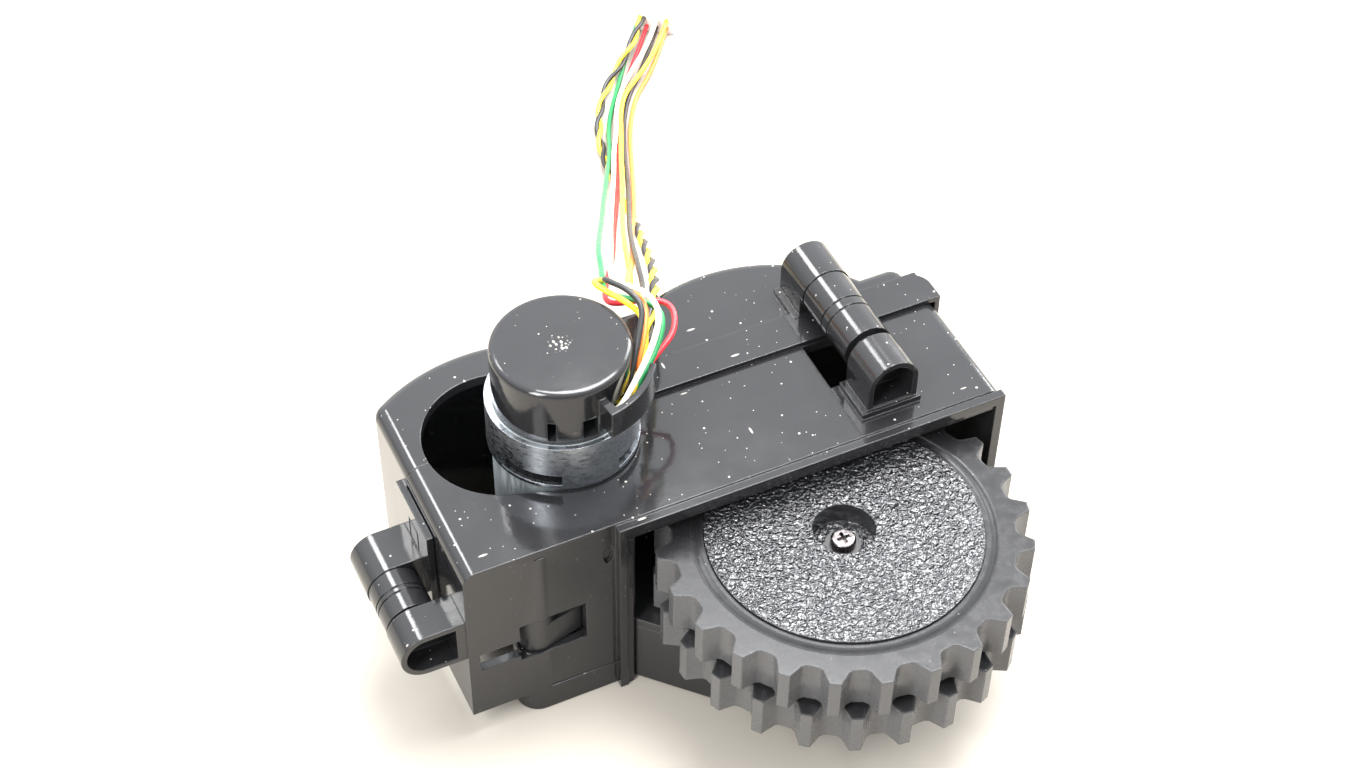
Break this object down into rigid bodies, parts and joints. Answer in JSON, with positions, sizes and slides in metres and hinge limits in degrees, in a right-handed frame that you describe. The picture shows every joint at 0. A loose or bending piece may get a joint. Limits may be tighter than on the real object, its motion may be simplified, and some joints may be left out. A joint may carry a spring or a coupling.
{
  "type": "robot vacuum wheel module",
  "caption": "Spring-loaded drive wheel module of a floor cleaning robot: treaded wheel on a geared swing arm with motor, encoder and loose wires, in a black moulded housing.",
  "frame": {"origin": "middle of the module's box without its wires, on the plane that the housing's open side lies on", "axes": "+X along the front wall from the pivot to the wheel, +Z along the wheel's axis towards the encoder cap, -Y where the wheel looks out towards the floor"},
  "size_m": [0.1432, 0.2379, 0.0791],
  "materials": {
    "housing": "gloss black moulding",
    "tower": "gloss black bush",
    "steel": "turned steel",
    "spring": "spring wire",
    "gearbox": "satin black moulding",
    "screws": "zinc plated",
    "bushes": "sintered bronze",
    "can": "bluish zinc plate",
    "magnets": "sintered ferrite",
    "carbon": "carbon",
    "end_cap": "satin",
    "board": "green solder mask",
    "cap": "gloss black",
    "core": "laminated",
    "copper": "enamelled copper",
    "gears": "natural acetal",
    "tyre": "satin rubber",
    "disc": "gloss stipple",
    "contacts": "tinned",
    "plug": "white nylon",
    "wire_black": "satin",
    "wire_green": "satin",
    "wire_orange": "satin",
    "wire_red": "satin",
    "wire_white": "satin",
    "wire_yellow": "satin",
    "wire_pair": "satin"
  },
  "bodies": {
    "housing": {"housing_front": "housing", "housing_rear": "housing", "tower_sleeve_right": "tower", "tower_sleeve_left": "tower", "pivot_pin": "steel", "suspension_spring": "spring"},
    "swing_arm": {"gearbox_case": "gearbox", "gearbox_cover": "gearbox", "gearbox_screws": "screws", "first_axle": "steel", "second_axle": "steel", "lower_bush": "bushes", "upper_bush": "bushes", "motor_can": "can", "flux_ring": "can", "motor_magnets": "magnets", "motor_screws": "screws", "motor_brushes": "carbon", "motor_end_cap": "end_cap", "encoder_board": "board", "encoder_cap": "cap", "wire_black": "wire_black", "wire_green": "wire_green", "wire_orange": "wire_orange", "wire_pair": "wire_pair", "wire_red": "wire_red", "wire_white": "wire_white", "wire_yellow": "wire_yellow", "plug_housing": "plug", "plug_contacts": "contacts"},
    "wheel": {"wheel_hub": "disc", "tyre": "tyre", "output_shaft": "steel", "output_gear": "gears", "wheel_screw": "screws", "wheel_washer": "screws"},
    "first_gear": {"first_gear": "gears"},
    "second_gear": {"second_gear": "gears"},
    "rotor": {"motor_shaft": "steel", "motor_pinion": "bushes", "rotor_core": "core", "rotor_windings": "copper", "commutator": "copper", "encoder_disc": "magnets"}
  },
  "joints": [
    {"name": "arm_swing", "type": "hinge", "parent": "housing", "child": "swing_arm", "pos_m": [-0.03435, 0.00175, 0.022], "axis": [0, 0, 1], "range_deg": [0, 26], "stiffness_Nm_per_rad": 0.5, "springref_deg": -8.59, "deforming": ["suspension_spring"]},
    {"name": "wheel_spin", "type": "hinge", "parent": "swing_arm", "child": "wheel", "pos_m": [0.02075, -0.01515, 0.01], "axis": [0, 0, 1], "continuous": true},
    {"name": "second_gear_spin", "type": "hinge", "parent": "swing_arm", "child": "second_gear", "pos_m": [0.01103, 0.00141, 0.01], "axis": [0, 0, 1], "continuous": true},
    {"name": "first_gear_spin", "type": "hinge", "parent": "swing_arm", "child": "first_gear", "pos_m": [-0.00283, 0.01426, 0.01], "axis": [0, 0, 1], "continuous": true},
    {"name": "motor_spin", "type": "hinge", "parent": "swing_arm", "child": "rotor", "pos_m": [-0.01915, 0.02185, 0.01], "axis": [0, 0, 1], "continuous": true}
  ],
  "couplings": [
    {"joint": "first_gear_spin", "follows": "motor_spin", "ratio": -0.25},
    {"joint": "second_gear_spin", "follows": "motor_spin", "ratio": 0.071429},
    {"joint": "wheel_spin", "follows": "motor_spin", "ratio": -0.02381}
  ]
}
